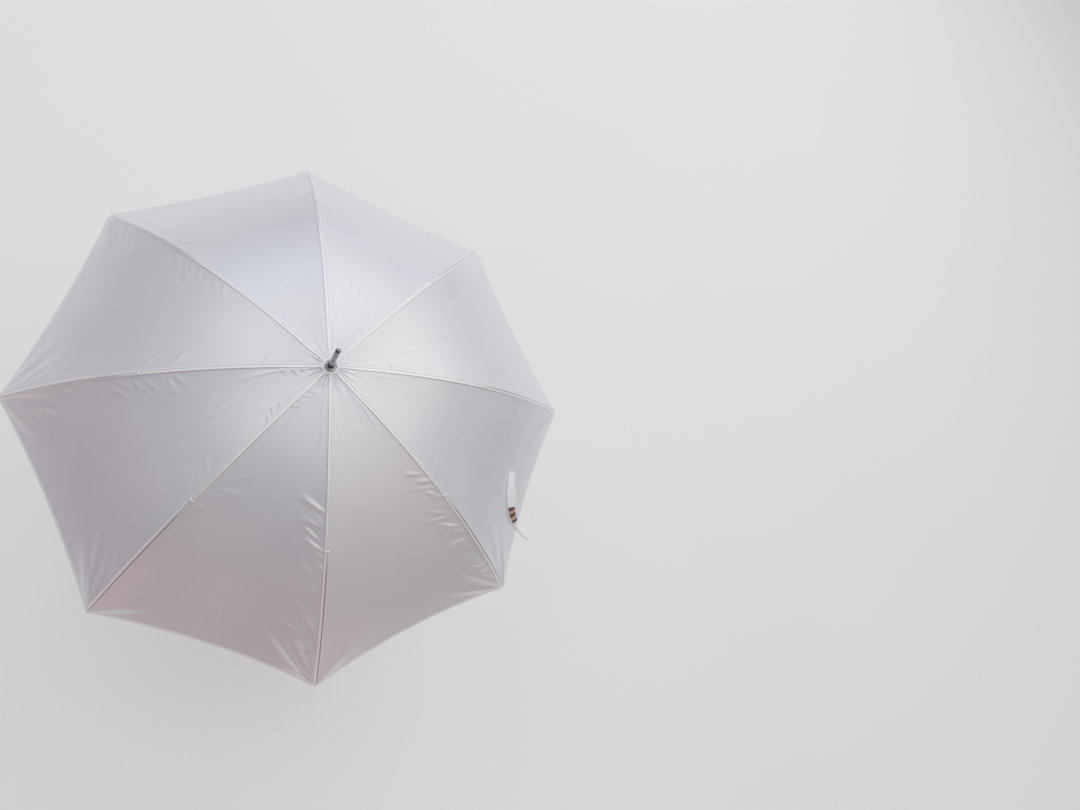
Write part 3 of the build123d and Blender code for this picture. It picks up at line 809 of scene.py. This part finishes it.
# %% Finishes
def worn_metal(name, bright, dull, roughness, stretch, mottle_mm, bump_mm=0.03):
    """Plated steel: metallic 1, a mottle between two greys, scratches stretched along one axis."""
    material, tree, output = new_material(name)
    where = add(tree, "ShaderNodeTexCoord").outputs["Object"]
    stretched = add(tree, "ShaderNodeMapping", {"Vector": where, "Scale": stretch}).outputs["Vector"]
    scratches = add(
        tree, "ShaderNodeTexNoise", {"Vector": stretched, "Scale": 1.0, "Detail": 4.0}
    ).outputs["Fac"]
    mottle = add(
        tree, "ShaderNodeTexNoise", {"Vector": where, "Scale": 1 / (mottle_mm * MM), "Detail": 3.0}
    ).outputs["Fac"]
    mixed = add(tree, "ShaderNodeMath", {0: scratches, 1: mottle}, operation="ADD").outputs[0]
    half = add(tree, "ShaderNodeMath", {0: mixed, 1: 0.5}, operation="MULTIPLY").outputs[0]
    gloss = add(
        tree,
        "ShaderNodeMapRange",
        {
            "Value": mottle,
            "From Min": 0.3,
            "From Max": 0.7,
            "To Min": roughness - 0.08,
            "To Max": roughness + 0.12,
        },
    ).outputs["Result"]
    bump = add(tree, "ShaderNodeBump", {"Height": half, "Strength": 0.35, "Distance": bump_mm * MM})
    metal = add(
        tree,
        "ShaderNodeBsdfPrincipled",
        {
            "Base Color": colour_stops(tree, half, [(0.38, dull), (0.62, bright)]),
            "Metallic": 1.0,
            "Roughness": gloss,
            "Normal": bump.outputs["Normal"],
        },
    )
    tree.links.new(metal.outputs["BSDF"], output.inputs["Surface"])
    return material


def moulded(name, colour, sheen_colour, roughness, ior, grain_mm):
    """Moulded plastic or rubber: a dark body with a fine grain in its bump and gloss."""
    material, tree, output = new_material(name)
    where = add(tree, "ShaderNodeTexCoord").outputs["Object"]
    grain = add(
        tree, "ShaderNodeTexNoise", {"Vector": where, "Scale": 1 / (grain_mm * MM), "Detail": 2.0}
    ).outputs["Fac"]
    gloss = add(
        tree, "ShaderNodeMapRange", {"Value": grain, "To Min": roughness - 0.08, "To Max": roughness + 0.1}
    ).outputs["Result"]
    bump = add(tree, "ShaderNodeBump", {"Height": grain, "Strength": 0.3, "Distance": 0.05 * MM})
    body = add(
        tree,
        "ShaderNodeBsdfPrincipled",
        {
            "Base Color": colour_stops(tree, grain, [(0.35, colour), (0.65, sheen_colour)]),
            "Roughness": gloss,
            "IOR": ior,
            "Normal": bump.outputs["Normal"],
        },
    )
    tree.links.new(body.outputs["BSDF"], output.inputs["Surface"])
    return material


# oxidised mild steel tube: mid grey, mottled, drawn lengthwise, so scratches run along Z
ferrule_steel = worn_metal("drawn_steel_tube", "#a3a4a6", "#5b5b5d", 0.34, (1400, 1400, 90), 2.4, 0.05)
# zinc-plated spring steel: bluish grey, fairly even
rib_steel = worn_metal("zinc_plated_spring_steel", "#9a9ca1", "#6d6e73", 0.36, (700, 700, 700), 6.0)
# turned steel collar: rings round the axis, some of them a browner grey
collar_steel = worn_metal("turned_steel_collar", "#b5b3b0", "#6f6963", 0.28, (300, 300, 4000), 1.8)
# nickel plate, polished: the nose and the rib tips
nickel = worn_metal("polished_nickel", "#77787c", "#4a4a4e", 0.16, (500, 500, 500), 3.0, 0.01)
black_nylon = moulded("moulded_nylon", "#17171a", "#26262a", 0.45, 1.53, 0.5)
black_rubber = moulded("gasket_rubber", "#101012", "#1e1d1f", 0.6, 1.52, 0.4)
FINISHES = {
    "shaft_tube": ferrule_steel,
    "stop_pin": rib_steel,
    "end_plug": black_nylon,
    "ferrule_ring": black_rubber,
    "ferrule_nose": nickel,
    "crown_hub": black_nylon,
    "crown_wire": rib_steel,
    "collar": collar_steel,
    "collar_seal": black_rubber,
    "runner": black_nylon,
    "runner_wire": rib_steel,
    "latch_spring": rib_steel,
    "rib": rib_steel,
    "rib_tip": nickel,
    "rib_clip": rib_steel,
    "stretcher": rib_steel,
}
replaced = {"crown_patch", "tie_strap"} | {f"canopy_{rib}" for rib in range(1, RIBS + 1)}
dressed = 0
for name, node in frame["nodes"].items():
    if name in replaced:
        continue
    stem = name.rstrip("0123456789").rstrip("_")
    finish = FINISHES.get(name) or FINISHES[stem]
    node.data.materials.clear()
    node.data.materials.append(finish)
    dressed += 1
print("finishes on", dressed, "frame nodes")

# %% [markdown]
# ## The cloth's own meshes
#
# When the ribs turn down, the cloth between them goes slack and folds in half along each gore's
# middle. A rigid half gore would cut through its neighbour. Here each half gore, with its hem and the
# strap pieces, only gets a mesh of its own.


for piece, rib, side in half_gores + hems + [(strap, 8, 1) for strap in strap_pieces]:
    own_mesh(piece)
print("folding", len(half_gores), "half gores with their hems")

# %% [markdown]
# Each half gore's side is worked out as left or right.

for piece, rib, side in half_gores:
    word = "left" if side > 0 else "right"

# %% [markdown]
# ## The studio
#
# A pale floor and ten square softboxes on one sphere round the canopy. Two strong ones behind do
# most of the work, five dimmer ones fill in around and above, and three weak warm ones, low in front
# and on the left, tint the gores that turn away. Coated satin mirrors its lamps softly, so many
# broad ones give each gore a glow of its own, while one small one would only put a hot spot on it.

# %% Studio
shaft_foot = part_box("end_plug")[0].z
floor_mesh = bpy.data.meshes.new("studio_floor")
FLOOR_HALF = 4.0
corners = [(x * FLOOR_HALF, y * FLOOR_HALF, shaft_foot) for x, y in ((-1, -1), (1, -1), (1, 1), (-1, 1))]
floor_mesh.from_pydata(corners, [], [(0, 1, 2, 3)])
floor = bpy.data.objects.new("studio_floor", floor_mesh)
bpy.context.scene.collection.objects.link(floor)
floor_paper, floor_tree, floor_output = new_material("backdrop_paper")
paper_place = add(floor_tree, "ShaderNodeTexCoord").outputs["Object"]
paper_noise = add(floor_tree, "ShaderNodeTexNoise", {"Vector": paper_place, "Scale": 3.0}).outputs["Fac"]
paper = add(
    floor_tree,
    "ShaderNodeBsdfPrincipled",
    {
        "Base Color": colour_stops(floor_tree, paper_noise, [(0.3, "#f6f6f6"), (0.7, "#fafafa")]),
        "Roughness": 0.9,
        "Emission Color": linear("#fff6f3"),
        "Emission Strength": 0.5,
    },
)
floor_tree.links.new(paper.outputs["BSDF"], floor_output.inputs["Surface"])
floor.data.materials.append(floor_paper)


CENTRE = Vector((0.0, 0.0, rim_height + 0.1))
LAMP_DISTANCE, LAMP_SIZE = 3.0, 1.7


def softbox(name, bearing, elevation, watts, colour):
    """A square area lamp on a sphere round the canopy: its place is given in spherical angles."""
    lamp = bpy.data.lights.new(name, "AREA")
    lamp.size, lamp.energy, lamp.color = LAMP_SIZE, watts, linear(colour)[:3]
    turn_round, rise = radians(bearing), radians(elevation)
    away = Vector((cos(turn_round) * cos(rise), sin(turn_round) * cos(rise), sin(rise)))
    box = bpy.data.objects.new(name, lamp)
    box.location = CENTRE + LAMP_DISTANCE * away
    box.rotation_euler = (-away).to_track_quat("-Z", "Y").to_euler()
    bpy.context.scene.collection.objects.link(box)


# name, bearing and elevation in degrees, watts, colour
LAMPS = [
    ("key_right", 51, 32, 94, "#fbf8ff"),
    ("key_behind", 90, 35, 54, "#d2e2ff"),
    ("fill_right", 15, 55, 46, "#fff8f6"),
    ("fill_left", 135, 55, 42, "#f7f4ff"),
    ("fill_overhead", 0, 88, 28, "#e2f0ff"),
    ("fill_low", 66, 12, 18, "#c2ceff"),
    ("fill_front", 315, 55, 12, "#ffe2c4"),
    ("warm_front_left", 232, 12, 8, "#ffb8a2"),
    ("warm_front_right", 284, 12, 8, "#ffb8a2"),
    ("warm_left", 165, 12, 8, "#ffc0b4"),
]
for lamp_settings in LAMPS:
    softbox(*lamp_settings)
world = bpy.data.worlds.new("studio_air")
world.use_nodes = True
world.node_tree.nodes["Background"].inputs["Color"].default_value = linear("#f3f1f6")
world.node_tree.nodes["Background"].inputs["Strength"].default_value = 0.1
bpy.context.scene.world = world
print("studio:", len(LAMPS), "softboxes over a pale floor at", round(shaft_foot / MM), "mm")
